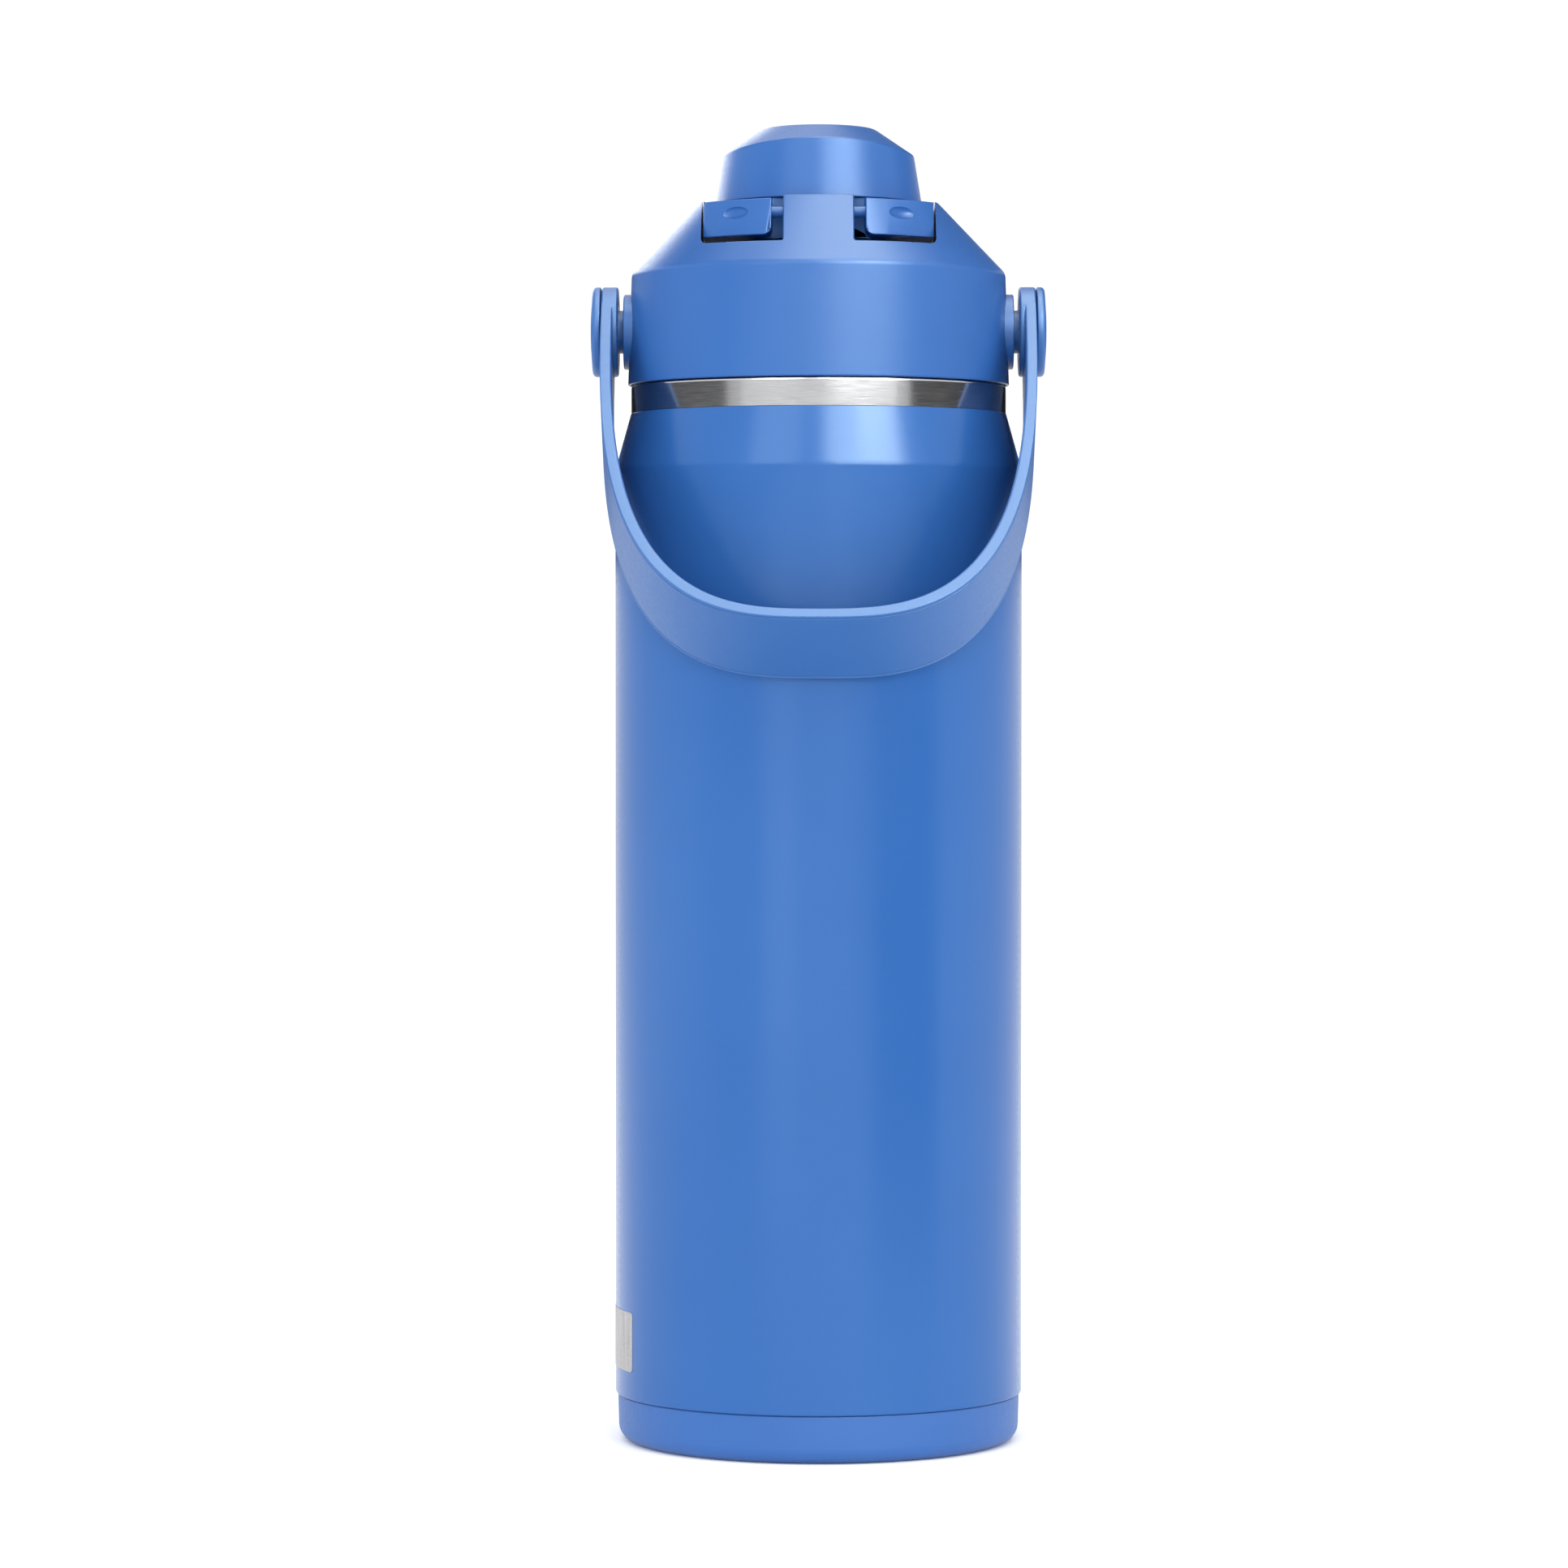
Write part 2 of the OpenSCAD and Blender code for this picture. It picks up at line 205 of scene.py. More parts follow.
def bake_modifiers(piece):
    """Makes the modified mesh the object's own mesh."""
    shaped = bpy.data.meshes.new_from_object(piece.evaluated_get(bpy.context.evaluated_depsgraph_get()))
    old = piece.data
    piece.modifiers.clear()
    piece.data = shaped
    shaped.name = piece.name
    bpy.data.meshes.remove(old)


def combine(piece, tool, operation):
    """Cuts the bmesh tool out of a piece, or joins or intersects the two."""
    other = as_object(tool, "tool")
    step = piece.modifiers.new(operation, "BOOLEAN")
    step.operation, step.solver, step.object = operation, "EXACT", other
    bpy.context.view_layer.update()
    bake_modifiers(piece)
    mesh = other.data
    bpy.data.objects.remove(other)
    bpy.data.meshes.remove(mesh)


def smooth(piece, angle=32):
    """Smooth shading up to that angle, with flat faces kept flat beside their rounded edges."""
    piece.data.shade_smooth()
    piece.data.set_sharp_from_angle(angle=math.radians(angle))
    step = piece.modifiers.new("normals", "WEIGHTED_NORMAL")
    step.keep_sharp = True


def soften(piece, width, segments=3, angle=28, share=None):
    """Rounds every edge that turns by more than angle. share, for a new piece only, gives the part of the
    width that an edge gets, from the edge's middle in millimetres."""
    weld = piece.modifiers.new("weld", "WELD")
    weld.merge_threshold = 0.02 * MM
    if share:
        bake_modifiers(piece)
        bm = bmesh.new()
        bm.from_mesh(piece.data)
        weights = bm.edges.layers.float.new("bevel_weight_edge")
        for edge in bm.edges:
            if len(edge.link_faces) == 2 and edge.calc_face_angle(0) > math.radians(angle):
                edge[weights] = share((edge.verts[0].co + edge.verts[1].co) / (2 * MM))
        bm.to_mesh(piece.data)
        bm.free()
    bevel = piece.modifiers.new("edges", "BEVEL")
    bevel.limit_method, bevel.angle_limit = "WEIGHT" if share else "ANGLE", math.radians(angle)
    bevel.width, bevel.segments, bevel.use_clamp_overlap = width * MM, segments, False
    bevel.miter_outer = "MITER_ARC"
    normals = piece.modifiers.new("normals", "WEIGHTED_NORMAL")
    normals.keep_sharp = False
    piece.data.shade_smooth()


def fit(piece, body, material, *nodes):
    """Gives a finished piece its material and its body, and lets it stand for CAD nodes."""
    piece.data.materials.clear()
    piece.data.materials.append(material)
    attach(piece, body)
    if nodes:
        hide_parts(*nodes)


# ---------------------------------------------------------------- materials

def linear(red, green, blue):
    """A colour given as sRGB 0 to 255, as linear values."""
    return [((c / 255 + 0.055) / 1.055) ** 2.4 if c > 10 else c / 255 / 12.92 for c in (red, green, blue)] + [1]


class Finish:
    """A procedural material: a Principled shader with tone, roughness and relief from its own nodes."""

    def __init__(self, name, **sockets):
        self.material = bpy.data.materials.new(name)
        self.material.use_nodes = True
        self.tree = self.material.node_tree
        self.shader = self.tree.nodes["Principled BSDF"]
        self.place = self.tree.nodes.new("ShaderNodeTexCoord").outputs["Object"]
        for socket, value in sockets.items():
            self.shader.inputs[socket.replace("_", " ")].default_value = value
        self.relief = None

    def node(self, kind, inputs=(), **settings):
        """A new node. inputs pairs a socket's name or number with a value or an output to link."""
        made = self.tree.nodes.new("ShaderNode" + kind)
        for key, value in settings.items():
            setattr(made, key, value)
        for key, value in inputs:
            if isinstance(value, bpy.types.NodeSocket):
                self.tree.links.new(value, made.inputs[key])
            else:
                made.inputs[key].default_value = value
        return made

    def stretched(self, x, y, z):
        """The piece's own coordinates, stretched along its axes."""
        return self.node("Mapping", [("Vector", self.place), ("Scale", (x, y, z))]).outputs["Vector"]

    def noise(self, size, detail=2, place=None, lean=0.5):
        """Cloudy noise whose lumps are about size millimetres across."""
        return self.node("TexNoise", [("Vector", place or self.place), ("Scale", 1 / (size * MM)),
                                      ("Detail", detail), ("Roughness", lean)]).outputs["Fac"]

    def spread(self, value, start, end, source=(0.3, 0.7)):
        """A value moved from the range that noise covers to another."""
        return self.node("MapRange", [("Value", value), ("From Min", source[0]), ("From Max", source[1]),
                                      ("To Min", start), ("To Max", end)]).outputs["Result"]

    def tone(self, value, dark, light):
        """Base colour between two colours, by a noise value."""
        ramp = self.node("ValToRGB", [("Fac", value)])
        ramp.color_ramp.elements[0].color, ramp.color_ramp.elements[0].position = dark, 0.3
        ramp.color_ramp.elements[1].color, ramp.color_ramp.elements[1].position = light, 0.7
        self.tree.links.new(ramp.outputs["Color"], self.shader.inputs["Base Color"])

    def rough(self, value, start, end):
        self.tree.links.new(self.spread(value, start, end), self.shader.inputs["Roughness"])

    def bump(self, value, height, strength=1):
        """Relief that many millimetres high, on top of any relief given before."""
        inputs = [("Height", value), ("Distance", height * MM), ("Strength", strength)]
        if self.relief:
            inputs.append(("Normal", self.relief))
        self.relief = self.node("Bump", inputs).outputs["Normal"]
        self.tree.links.new(self.relief, self.shader.inputs["Normal"])


def powder_coat():
    """Satin powder coat: a fine grit over a gentle orange peel."""
    f = Finish("body_paint", IOR=1.5, Specular_IOR_Level=0.28, Specular_Tint=(0.84, 1, 0.92, 1))
    cloud = f.noise(60, 3)
    grit = f.noise(0.35, 3, lean=0.7)
    f.tone(cloud, linear(36, 81, 143), linear(39, 85, 147))
    f.rough(f.noise(1.1, 2), 0.2, 0.25)
    f.bump(f.noise(1.6, 2), 0.012, 0.5)
    f.bump(grit, 0.008, 0.6)
    return f.material


def moulded(name, dark, light, rough, grain=0.28, relief=0.01, **sockets):
    """Moulded plastic or rubber with the spark-eroded grain of its mould."""
    f = Finish(name, **sockets)
    f.tone(f.noise(35, 3), dark, light)
    f.rough(f.noise(0.9, 3), *rough)
    cells = f.node("TexVoronoi", [("Vector", f.place), ("Scale", 1 / (grain * MM))]).outputs["Distance"]
    f.bump(cells, relief, 0.5)
    f.bump(f.noise(2.5, 1), 0.015, 0.35)
    return f.material


def turned_steel(name, dark, light, rough, relief=0.004, **sockets):
    """Stainless steel with the fine rings that turning and brushing leave round the axis."""
    f = Finish(name, Metallic=1.0, **sockets)
    parts = f.node("SeparateXYZ", [("Vector", f.place)]).outputs
    square = [f.node("Math", [(0, parts[axis]), (1, 2.0)], operation="POWER").outputs[0] for axis in "XY"]
    total = f.node("Math", [(0, square[0]), (1, square[1])], operation="ADD").outputs[0]
    radius = f.node("Math", [(0, total)], operation="SQRT").outputs[0]
    drift = f.node("Math", [(0, parts["X"]), (1, 0.04)], operation="MULTIPLY").outputs[0]
    rings = f.node("CombineXYZ", [("X", radius), ("Y", drift), ("Z", parts["Z"])]).outputs["Vector"]
    lines = f.noise(0.16, 4, rings, 0.65)
    f.tone(lines, dark, light)
    f.rough(lines, *rough)
    f.bump(lines, relief, 0.5)
    return f.material


def plain_metal(name, dark, light, rough):
    """A small bare or plated metal piece, faintly mottled."""
    f = Finish(name, Metallic=1.0)
    f.tone(f.noise(1.5, 3), dark, light)
    f.rough(f.noise(0.5, 3), *rough)
    f.bump(f.noise(0.25, 2), 0.004, 0.4)
    return f.material


def closed_foam():
    """Off-white insulating foam with small closed cells."""
    f = Finish("foam")
    cells = f.node("TexVoronoi", [("Vector", f.place), ("Scale", 1 / (0.9 * MM))]).outputs["Distance"]
    f.tone(cells, linear(206, 200, 180), linear(238, 234, 220))
    f.rough(f.noise(2), 0.75, 0.9)
    f.bump(cells, 0.25, 0.8)
    return f.material


def printed_patch():
    """A grey metallic print: flakes in a matt binder, with faint vertical drag."""
    f = Finish("patch_print", Metallic=0.35, IOR=1.45)
    drag = f.noise(1.4, 3, f.stretched(1, 1, 0.08))
    flakes = f.node("TexVoronoi", [("Vector", f.place), ("Scale", 1 / (0.22 * MM))]).outputs["Color"]
    fleck = f.node("Math", [(0, f.node("SeparateColor", [("Color", flakes)]).outputs["Red"]), (1, 0.25)],
                   operation="MULTIPLY").outputs[0]
    f.tone(f.node("Math", [(0, drag), (1, fleck)], operation="ADD").outputs[0],
           linear(116, 116, 111), linear(158, 157, 160))
    f.rough(f.noise(0.4, 2), 0.38, 0.52)
    f.bump(fleck, 0.01, 0.4)
    return f.material


BLUE = linear(37, 81, 144), linear(40, 85, 148)
paint = powder_coat()
steel = turned_steel("bare_steel", linear(194, 194, 196), linear(208, 208, 209), (0.13, 0.2))
inner_steel = turned_steel("liner_steel", linear(176, 176, 178), linear(200, 200, 201), (0.26, 0.38), 0.008)
boot_rubber = moulded("boot_silicone", linear(38, 84, 147), linear(42, 88, 151), (0.46, 0.56), 0.35, 0.012,
                      IOR=1.43, Specular_IOR_Level=0.4, Sheen_Weight=0.05, Sheen_Roughness=0.5)
lid_plastic = moulded("lid_plastic", *BLUE, (0.3, 0.38), IOR=1.49, Specular_IOR_Level=0.3, Specular_Tint=(0.88, 1, 0.76, 1))
cap_plastic = moulded("cap_plastic", *BLUE, (0.29, 0.37), IOR=1.49, Specular_IOR_Level=0.26, Specular_Tint=(0.88, 1, 0.76, 1))
handle_plastic = moulded("handle_plastic", linear(38, 83, 144), linear(42, 87, 148), (0.38, 0.46), 0.3, 0.012,
                         IOR=1.49, Specular_IOR_Level=0.42, Specular_Tint=(0.86, 1, 0.76, 1))
white_plastic = moulded("inner_plastic", linear(226, 228, 230), linear(238, 239, 240), (0.35, 0.45),
                        Subsurface_Weight=0.1, Subsurface_Scale=0.004)
seal_rubber = moulded("seal_silicone", linear(222, 224, 226), linear(236, 237, 238), (0.5, 0.6),
                      Subsurface_Weight=0.25, Subsurface_Scale=0.004)
foam = closed_foam()
magnet_metal = plain_metal("magnet", linear(120, 120, 124), linear(142, 142, 146), (0.22, 0.32))
getter_metal = plain_metal("getter_metal", linear(86, 84, 82), linear(118, 116, 112), (0.45, 0.6))
patch_ink = printed_patch()


# ---------------------------------------------------------------- bottle

def bottle_wall():
    """The painted outer wall, with its shoulder, its tucked foot and the edge of the paint."""
    foot_r = boot_r - boot_wall
    inner_r = wall_r - steel_t
    lip_r = band_r + 0.1
    piece = as_object(turned(rounded([
        (foot_r, wall_low_z), (foot_r, boot_top_z + 0.02), (wall_r, boot_top_z + 0.1, 0.45),
        (wall_r, shoulder_z, shoulder_blend), (lip_r, wall_top_z - 0.1, 0.15), (band_r - 0.2, wall_top_z),
        (band_r - steel_t, wall_top_z), (inner_r, shoulder_z - 0.2, shoulder_blend),
        (inner_r, boot_top_z + 0.9), (foot_r - steel_t, boot_top_z + 0.6), (foot_r - steel_t, wall_low_z)])),
        "bottle_wall")
    smooth(piece)
    fit(piece, "bottle", paint, "outer_shell")


def neck_ring():
    """The bare steel band with its rolled top edge."""
    mouth_r = band_r - 3.2
    piece = as_object(turned(rounded([
        (band_r - steel_t, band_low_z), (band_r, band_low_z), (band_r, band_top_z, 1.2),
        (mouth_r, band_top_z), (mouth_r, band_top_z - steel_t), (band_r - steel_t, band_top_z - steel_t, 0.6)])),
        "neck_ring")
    smooth(piece)
    fit(piece, "bottle", steel, "neck_band")


def foot_boot():
    """The soft base boot: a drafted wall, a round lower edge and two ring grooves underneath."""
    groove_w, groove_d = 1.5, 0.6
    underside = []
    for r in (24, 31):
        underside += [(r - groove_w / 2, 0, 0.15), (r - groove_w / 2, groove_d, 0.2),
                      (r + groove_w / 2, groove_d, 0.2), (r + groove_w / 2, 0, 0.15)]
    piece = as_object(turned(rounded(
        [(0, 0)] + underside + [
            (boot_r - 0.3, 0, 3.6), (boot_r, boot_top_z, 0.35), (boot_r - boot_wall, boot_top_z, 0.2),
            (boot_r - boot_wall, boot_floor, 0.5), (0, boot_floor)])), "foot_boot")
    smooth(piece)
    fit(piece, "bottle", boot_rubber, "base_boot")


def grey_patch():
    """The plain grey print at the left of the foot: a thin curved panel with round corners."""
    patch_low, patch_high = low["side_patch"], high["side_patch"]
    outer_r = -patch_low.x
    half_w = outer_r * math.asin(patch_high.y / outer_r)
    inner_r = wall_r - 0.03
    outline = rounded([(-half_w, patch_low.z, 0.9), (half_w, patch_low.z, 0.9),
                       (half_w, patch_high.z, 0.9), (-half_w, patch_high.z, 0.9)])
    bm = bar(outline, 0, 1, "Z")
    cuts = 40
    for k in range(1, cuts):
        place = -half_w + 2 * half_w * k / cuts
        bmesh.ops.bisect_plane(bm, geom=bm.verts[:] + bm.edges[:] + bm.faces[:],
                               plane_co=(place, 0, 0), plane_no=(1, 0, 0))
    for v in bm.verts:
        angle = math.pi + v.co.x / outer_r
        r = outer_r if v.co.z > 0.5 else inner_r
        v.co = (r * math.cos(angle), r * math.sin(angle), v.co.y)
    piece = as_object(bm, "grey_patch")
    smooth(piece, 40)
    fit(piece, "bottle", patch_ink, "side_patch")


# ---------------------------------------------------------------- lid

def trough_cutter():
    """What the trough and the hinge pockets take out of the lid, as one solid in slabs across the lid.
    The round groove that the tabs swing in stops short of the pockets' outer ends."""
    top, end, steps = deck_z + 40, 60, 24
    groove_x = knuckle_x + 9
    drop = hinge_z - deck_z
    start = math.atan2(-drop, -math.sqrt(hinge_swing_r ** 2 - drop ** 2))
    sweep = 2 * (-math.pi / 2 - start) % (2 * math.pi)
    swing = [(hinge_y + hinge_swing_r * math.cos(start + sweep * k / steps),
              hinge_z + hinge_swing_r * math.sin(start + sweep * k / steps)) for k in range(steps + 1)]
    over = [(end, deck_z), (end, top), (knuckle_back_y, top)]
    pocket = [(-end, deck_z)] + swing + over + [(-end, top)]
    plain = [(-end, deck_z), swing[0], swing[-1]] + over + [(-end, top)]
    centre = [(knuckle_back_y, deck_z), swing[-1]] + over
    step = [(-end, deck_z)] + swing + [(knuckle_back_y, deck_z), (knuckle_back_y, top), (-end, top)]
    bm = bmesh.new()
    made = {}

    def face(x, outline):
        bm.faces.new([vert(x, *p) for p in outline])

    def vert(x, y, z):
        key = (round(x, 5), round(y, 5), round(z, 5))
        if key not in made:
            made[key] = bm.verts.new(key)
        return made[key]

    def slab(outline, x0, x1):
        for p, q in zip(outline, outline[1:] + outline[:1]):
            bm.faces.new((vert(x0, *p), vert(x0, *q), vert(x1, *q), vert(x1, *p)))

    for side in (-1, 1):
        slab(pocket, side * knuckle_x, side * groove_x)
        face(side * groove_x, swing)
        slab(plain, side * groove_x, side * trough_x)
        face(side * trough_x, plain)
        face(side * knuckle_x, step)
    slab(centre, -knuckle_x, knuckle_x)
    bmesh.ops.recalc_face_normals(bm, faces=bm.faces)
    foot = [e for e in bm.edges if all(abs(v.co.z - deck_z) < 1e-3 and abs(abs(v.co.x) - trough_x) < 1e-3
                                       for v in e.verts)]
    bmesh.ops.bevel(bm, geom=foot, offset=1.2, segments=4, profile=0.5, affect="EDGES")
    return bm


def lid_cover():
    """The lid's outer moulding: skirt, sloping shoulder, trough, hinge knuckle and handle bosses.
    A fine lip at the skirt's foot hides the gasket and laps the steel band."""
    lip_z = skirt_low_z - 0.7
    piece = as_object(turned(rounded([
        (spout_r + 0.05, rim_z), (rim_r, rim_z, 0.5), (skirt_top_r, lid_shoulder_z, 2.2),
        (skirt_r, lip_z, 0.6), (band_r + 0.06, lip_z, 0.1), (band_r + 0.06, skirt_low_z), (flange_r, skirt_low_z),
        (flange_r, flange_top_z),
        (skirt_top_r - 2.1, lid_shoulder_z - 1, 1), (skirt_top_r - 2.1, deck_z - deck_t),
        (spout_r + 0.05, deck_z - deck_t)])), "lid_cover")
    for side in (-1, 1):
        start, end = sorted((side * 36, side * boss_x))
        combine(piece, rod(boss_r, start, end, (0, 0, pivot_z), "X", 128), "UNION")
    combine(piece, trough_cutter(), "DIFFERENCE")
    combine(piece, rod(magnet_r, deck_z - 1.6, deck_z + 1, (0, middle["deck_magnet"].y, 0)), "DIFFERENCE")

    def share(at):
        trough_top = abs(at.x) > trough_x - 0.3 and at.z > deck_z + 0.2
        boss_root = math.hypot(at.y, at.z - pivot_z) < boss_r + 0.5 and abs(at.x) < boss_x - 0.1
        return 0.2 if trough_top or boss_root else 1

    soften(piece, 0.3, share=share)
    fit(piece, "lid", lid_plastic, "lid_shell")


def drinking_spout():
    """The spout tube with its rolled drinking lip and the flange that sits on the deck."""
    piece = as_object(turned(rounded([
        (spout_bore_r, spout_low_z, 0.4), (spout_r + 1.8, spout_low_z, 0.3), (spout_r + 1.8, spout_low_z + 1.4, 0.3),
        (spout_r, spout_low_z + 1.4), (spout_r, deck_z), (spout_r + 2.3, deck_z), (spout_r + 2.3, deck_z + 1, 0.45),
        (spout_r, deck_z + 1, 0.6), (spout_r, spout_top_z - 1.9, 0.5), (spout_r + 0.5, spout_top_z - 1.4, 0.5),
        (spout_r + 0.5, spout_top_z, 0.7), (spout_bore_r, spout_top_z, 0.9)])), "drinking_spout")
    smooth(piece)
    fit(piece, "lid", lid_plastic, "spout")


def handle_button(side):
    """The round cap on the outer end of an axle, slightly crowned."""
    start, end = sorted(abs(v) for v in (low["axle_cap_right"].x, high["axle_cap_right"].x))
    bm = along_x(turned(rounded([
        (0, start), (hub_r, start, 0.3), (hub_r, end - 0.45, 1.1), (hub_r * 0.45, end - 0.05, 12), (0, end)]), 128))
    bm.transform(Matrix.Translation((0, 0, pivot_z)))
    if side < 0:
        bm.transform(Matrix.Scale(-1, 4, (1, 0, 0)))
    name = "left" if side < 0 else "right"
    piece = as_object(bm, "handle_button_" + name)
    smooth(piece)
    fit(piece, "lid", handle_plastic, "axle_cap_" + name)


# ---------------------------------------------------------------- cap

def cap_dome():
    """The cap: a tapered wall whose upper crease rises towards the front and the back, and a chamfered top."""
    side_crease_z = cap_top_z - 6
    crease_rise = 2.4
    foot_z = cap_low_z - 0.7
    wall_t = 1.8
    taper = 1.6 / (side_crease_z - cap_low_z)

    def section(angle):
        crease_z = side_crease_z + crease_rise * math.sin(angle) ** 2
        crease_r = cap_r - taper * (crease_z - cap_low_z)
        lower = cap_top_z - wall_t
        return rounded([
            (cap_r + 0.1, foot_z, 0.2), (crease_r, crease_z, 0.9), (cap_top_r, cap_top_z, 3.5), (0, cap_top_z),
            (0, lower), (cap_top_r - 0.6, lower), (cap_r - 3.4, side_crease_z - 0.9), (cap_r - wall_t, foot_z)], 5)

    piece = as_object(turned(section), "cap_dome")
    smooth(piece)
    fit(piece, "cap", cap_plastic, "cap_shell")


def finger_dimple(side):
    """A lens-shaped scoop for a fingertip, cut into a tab's face and leaning with its slope."""
    bearing, lean = math.radians(35), math.radians(22)
    bm = bmesh.new()
    bmesh.ops.create_uvsphere(bm, u_segments=48, v_segments=24, radius=1)
    bm.transform(Matrix.Diagonal((3.65, 1.8, 1.45, 1)))
    bm.transform(Matrix.Rotation(lean, 4, "X"))
    bm.transform(Matrix.Translation((0, -(yoke_top_r + 1.75), yoke_top_z - 2.9)))
    bm.transform(Matrix.Rotation(side * bearing, 4, "Z"))
    return bm


def cap_carrier():
    """The cap's yoke with its two hinge tabs and their finger dimples."""
    collar_r = cap_r + 0.05
    piece = as_object(turned(rounded([
        (yoke_bore_r, yoke_low_z), (yoke_low_r, yoke_low_z), (yoke_top_r, yoke_top_z), (collar_r, yoke_top_z),
        (collar_r, cap_low_z - 0.75), (seat_r, cap_low_z - 0.75), (seat_r, seat_z), (yoke_bore_r, seat_z)])),
        "cap_carrier")
    above, beyond, corner = cap_top_z, 60, 1.8
    sides = rounded([(-yoke_x, yoke_low_z - 9), (yoke_x, yoke_low_z - 9), (yoke_x, yoke_top_z, 2.4),
                     (collar_r + 2, yoke_top_z + 0.01), (collar_r, above), (-collar_r, above),
                     (-collar_r - 2, yoke_top_z + 0.01), (-yoke_x, yoke_top_z, 2.4)])
    combine(piece, bar(sides, -beyond, beyond, "Y"), "INTERSECT")
    window = rounded([(-window_x, above), (-window_x, yoke_low_z, corner), (-window_x - 9, yoke_low_z),
                      (-window_x - 9, yoke_low_z - 9), (window_x + 9, yoke_low_z - 9), (window_x + 9, yoke_low_z),
                      (window_x, yoke_low_z, corner), (window_x, above)])
    combine(piece, bar(window, -beyond, window_y, "Y"), "DIFFERENCE")
    combine(piece, rod(magnet_r, yoke_low_z - 1, yoke_low_z + 1.6, (0, middle["yoke_magnet"].y, 0)), "DIFFERENCE")
    soften(piece, 0.3, share=lambda at: 0.2 if abs(at.x) > collar_r and at.z > yoke_top_z - 3.5 else 1)
    bake_modifiers(piece)
    for side in (-1, 1):
        combine(piece, finger_dimple(side), "DIFFERENCE")
    fit(piece, "cap", cap_plastic, "cap_yoke")


# ---------------------------------------------------------------- handle

def bail(half_width, depth, turn):
    """A point of the handle's rounded U, a superellipse, at that turn from its right end."""
    flat = 2 / 3
    x = half_width * math.copysign(abs(math.cos(turn)) ** flat, math.cos(turn))
    return Vector((x, -depth * math.sin(turn) ** flat))


def even_turns(count):
    """Turns at which the points of the U are evenly spaced along it."""
    fine = [math.pi * (1 - math.cos(math.pi * k / 4000)) / 2 for k in range(4001)]
    points = [bail(hub_out_x, handle_reach, max(0, t)) for t in fine]
    travelled = [0]
    for a, b in zip(points, points[1:]):
        travelled.append(travelled[-1] + (b - a).length)
    turns, k = [], 0
    for i in range(count + 1):
        goal = travelled[-1] * i / count
        while k < len(travelled) - 1 and travelled[k] < goal:
            k += 1
        turns.append(fine[k])
    return turns


def carry_handle():
    """The hanging carry strap: round-edged, with a fine groove beside each edge, and its two hubs."""
    groove_w, groove_d = 0.45, 0.3
    groove_in = 0.55
    skin = 0.04
    bm = bmesh.new()
    sections = []
    for turn in even_turns(140):
        outer = bail(hub_out_x - skin, handle_reach, turn)
        inner = bail(hub_out_x - strap_t, handle_reach - strap_t, turn)
        grown = min(1, -outer.y / taper_len)
        half = hub_r + (strap_w / 2 - hub_r) * grown
        outline = [(-half, 0, 0.45), (-half, strap_t, 0.6), (half, strap_t, 0.6), (half, 0, 0.45)]
        for edge in (half - groove_in, half - groove_in - groove_w / 2, half - groove_in - groove_w):
            outline.append((edge, groove_d if edge == half - groove_in - groove_w / 2 else 0))
        for edge in (groove_w + groove_in - half, groove_w / 2 + groove_in - half, groove_in - half):
            outline.append((edge, groove_d if edge == groove_w / 2 + groove_in - half else 0))
        across = (inner - outer) / strap_t
        ring = []
        for y, depth in rounded(outline):
            at = outer + across * depth
            ring.append(bm.verts.new((at.x, y, at.y)))
        sections.append(ring)
    for ring, beside in zip(sections, sections[1:]):
        for i in range(len(ring)):
            j = (i + 1) % len(ring)
            bm.faces.new((ring[i], ring[j], beside[j], beside[i]))
    bm.faces.new(sections[0][::-1])
    bm.faces.new(sections[-1])
    piece = as_object(bm, "carry_handle")
    for side in (-1, 1):
        start, end = sorted((side * hub_in_x, side * hub_out_x))
        combine(piece, rod(hub_r - 1.6, start - 1, end + 1, axis="X"), "DIFFERENCE")
        hub = turned(rounded([(bush_r, start, 0.2), (hub_r, start, 0.5), (hub_r, end, 0.5), (bush_r, end, 0.2)]), 128)
        combine(piece, along_x(hub), "UNION")
    swing = Matrix.Translation((0, 0, pivot_z * MM)) @ Matrix.Rotation(-hang_tilt, 4, "X")
    piece.data.transform(swing)
    smooth(piece, 30)
    fit(piece, "handle", handle_plastic, "handle_strap")


# ---------------------------------------------------------------- carried-over CAD pieces

CAD_FINISHES = {
    "inner_liner": inner_steel, "base_disc": inner_steel, "vacuum_plug": getter_metal, "getter": getter_metal,
    "lid_gasket": seal_rubber, "lid_plug": white_plastic, "lid_insulation": foam, "spout_seal": seal_rubber,
    "deck_magnet": magnet_metal, "yoke_magnet": magnet_metal, "hinge_pin": lid_plastic,
    "axle_left": lid_plastic, "axle_right": lid_plastic, "cap_liner": cap_plastic, "cap_gasket": seal_rubber,
    "bush_left": white_plastic, "bush_right": white_plastic,
}
SOFT_EDGES = {"lid_gasket": 0.35, "cap_liner": 0.4, "cap_gasket": 0.4, "spout_seal": 0.3, "hinge_pin": 0.2,
              "bush_left": 0.25, "bush_right": 0.25}


def carried_over():
    """Materials for the CAD pieces that stay, and rounded edges where an open lid shows them."""
    for node, material in CAD_FINISHES.items():
        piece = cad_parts[node]
        piece.data.materials.clear()
        piece.data.materials.append(material)
        if node in SOFT_EDGES:
            soften(piece, SOFT_EDGES[node])


# ---------------------------------------------------------------- studio

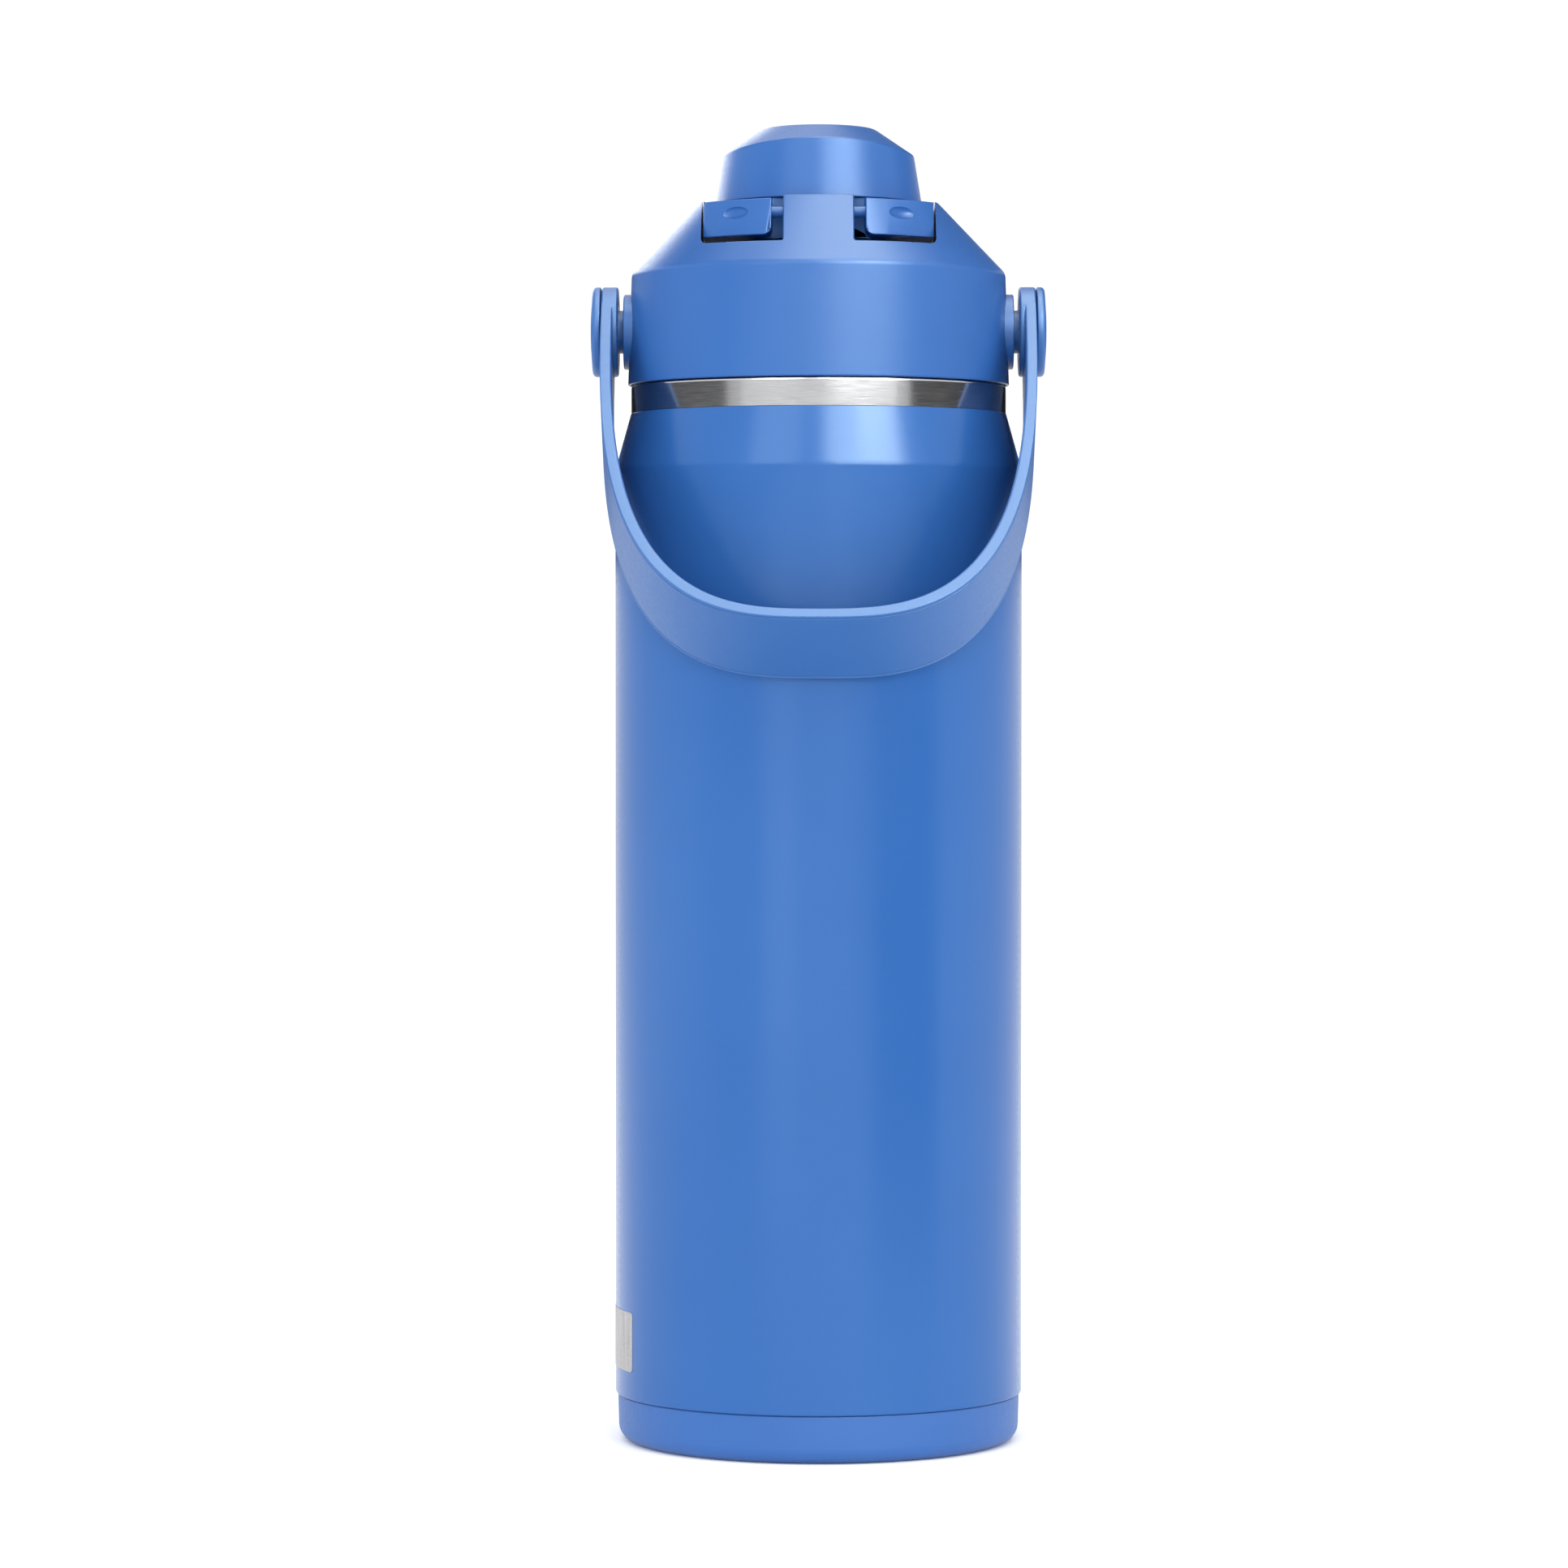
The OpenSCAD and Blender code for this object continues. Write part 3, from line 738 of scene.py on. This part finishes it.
def camera():
    """The camera, level with the middle of the jug and a little over a metre in front."""
    eye = Vector((0, -1.207, 0.1653))
    aim = Vector((-0.00757, 0, 0.1437))
    data = bpy.data.cameras.new("camera")
    data.lens, data.sensor_width = 126.33, 36
    made = bpy.data.objects.new("camera", data)
    made.location = eye
    made.rotation_mode = "QUATERNION"
    made.rotation_quaternion = (aim - eye).to_track_quat("-Z", "Y")
    scene.collection.objects.link(made)
    scene.camera = made


def floor():
    """A pale floor under the jug."""
    bm = bmesh.new()
    bmesh.ops.create_circle(bm, cap_ends=True, segments=96, radius=6000)
    made = as_object(bm, "floor")
    f = Finish("floor_paint")
    f.tone(f.noise(400, 2), linear(249, 249, 250), linear(251, 251, 251))
    f.rough(f.noise(30, 2), 0.75, 0.85)
    made.data.materials.append(f.material)


def direction(azimuth, elevation):
    """The unit vector from the jug towards a bearing, 0 at the camera and positive to the right."""
    a, e = math.radians(azimuth), math.radians(elevation)
    return Vector((math.sin(a) * math.cos(e), -math.cos(a) * math.cos(e), math.sin(e)))


def softbox(name, azimuth, elevation, width, height, radiance, gloss=True, distance=1.1, aim_z=0.22):
    """A rectangular soft light aimed at the jug, for highlights only or, without gloss, for fill only."""
    data = bpy.data.lights.new(name, "AREA")
    data.shape, data.size, data.size_y = "RECTANGLE", width, height
    data.energy = radiance * math.pi * width * height
    made = bpy.data.objects.new(name, data)
    aim = Vector((0, 0, aim_z))
    made.location = aim + direction(azimuth, elevation) * distance
    made.rotation_mode = "QUATERNION"
    made.rotation_quaternion = (aim - made.location).to_track_quat("-Z", "Y")
    made.visible_camera = False
    made.visible_glossy, made.visible_diffuse = gloss, not gloss
    scene.collection.objects.link(made)


def flag(name, start, end, distance, low_z, high_z, shade):
    """A curved dark card round the jug between two bearings. It is seen only in reflections."""
    bm = bmesh.new()
    steps = 16
    columns = []
    for k in range(steps + 1):
        out = direction(start + (end - start) * k / steps, 0) * distance
        columns.append([bm.verts.new((out.x, out.y, z)) for z in (low_z, high_z)])
    for a, b in zip(columns, columns[1:]):
        bm.faces.new((a[0], b[0], b[1], a[1]))
    bm.transform(Matrix.Scale(1 / MM, 4))
    made = as_object(bm, name)
    f = Finish(name + "_cloth", Specular_IOR_Level=0.0)
    f.tone(f.noise(20, 2), linear(shade, shade, shade), linear(shade + 4, shade + 4, shade + 4))
    made.data.materials.append(f.material)
    made.visible_camera = made.visible_diffuse = made.visible_shadow = False


def studio():
    """White surroundings for the light, softboxes and dark cards for the reflections."""
    world = bpy.data.worlds.new("surroundings")
    world.use_nodes = True
    world.node_tree.nodes["Background"].inputs["Color"].default_value = (1, 1, 1, 1)
    world.node_tree.nodes["Background"].inputs["Strength"].default_value = 1.08
    scene.world = world
    scene.view_settings.view_transform = "Standard"
    softbox("key_light", 28, 30.5, 0.8, 0.8, 15)
    softbox("key_core", 38, 40, 0.4, 0.3, 20)
    softbox("left_light", -26, 30, 0.5, 0.7, 4)
    softbox("left_strip", -22, -3, 0.34, 0.3, 1.7, aim_z=0.12)
    softbox("top_light", 40, 78, 0.85, 0.8, 8.5)
    softbox("back_left_light", -152, 17, 0.8, 0.45, 3)
    softbox("back_top_light", 180, 66, 0.9, 0.6, 2.6)
    softbox("front_fill", 0, 6, 1.4, 1.0, 5.5, False, 2.2)
    softbox("left_fill", -85, 8, 1.6, 1.2, 3, False, 2.2)
    softbox("right_fill", 85, 8, 1.6, 1.2, 3, False, 2.2)
    softbox("floor_fill", 0, 60, 2.4, 2.0, 1.0, False, 2.2)
    flag("card_front", -46, 46, 0.45, 0.205, 0.297, 206)
    for side, name, grey in ((-1, "left", 76), (1, "right", 52)):
        flag("flag_edge_" + name, side * 46, side * 55, 0.45, 0.21, 0.31, 170)
        flag("flag_grey_" + name, side * 55, side * 100, 0.45, 0.21, 0.31, grey)
        flag("flag_black_" + name, side * 100, side * 168, 0.45, 0.2, 0.32, 12)
    flag("flag_low_right", 30, 68, 0.6, -0.02, 0.19, 20)
    flag("flag_back_right", 104, 172, 0.5, 0.36, 0.95, 60)
    flag("flag_back_left", -152, -104, 0.5, 0.5, 0.95, 60)


camera()
bottle_wall()
neck_ring()
foot_boot()
grey_patch()
lid_cover()
drinking_spout()
for side in (-1, 1):
    handle_button(side)
cap_dome()
cap_carrier()
carry_handle()
carried_over()
floor()
studio()
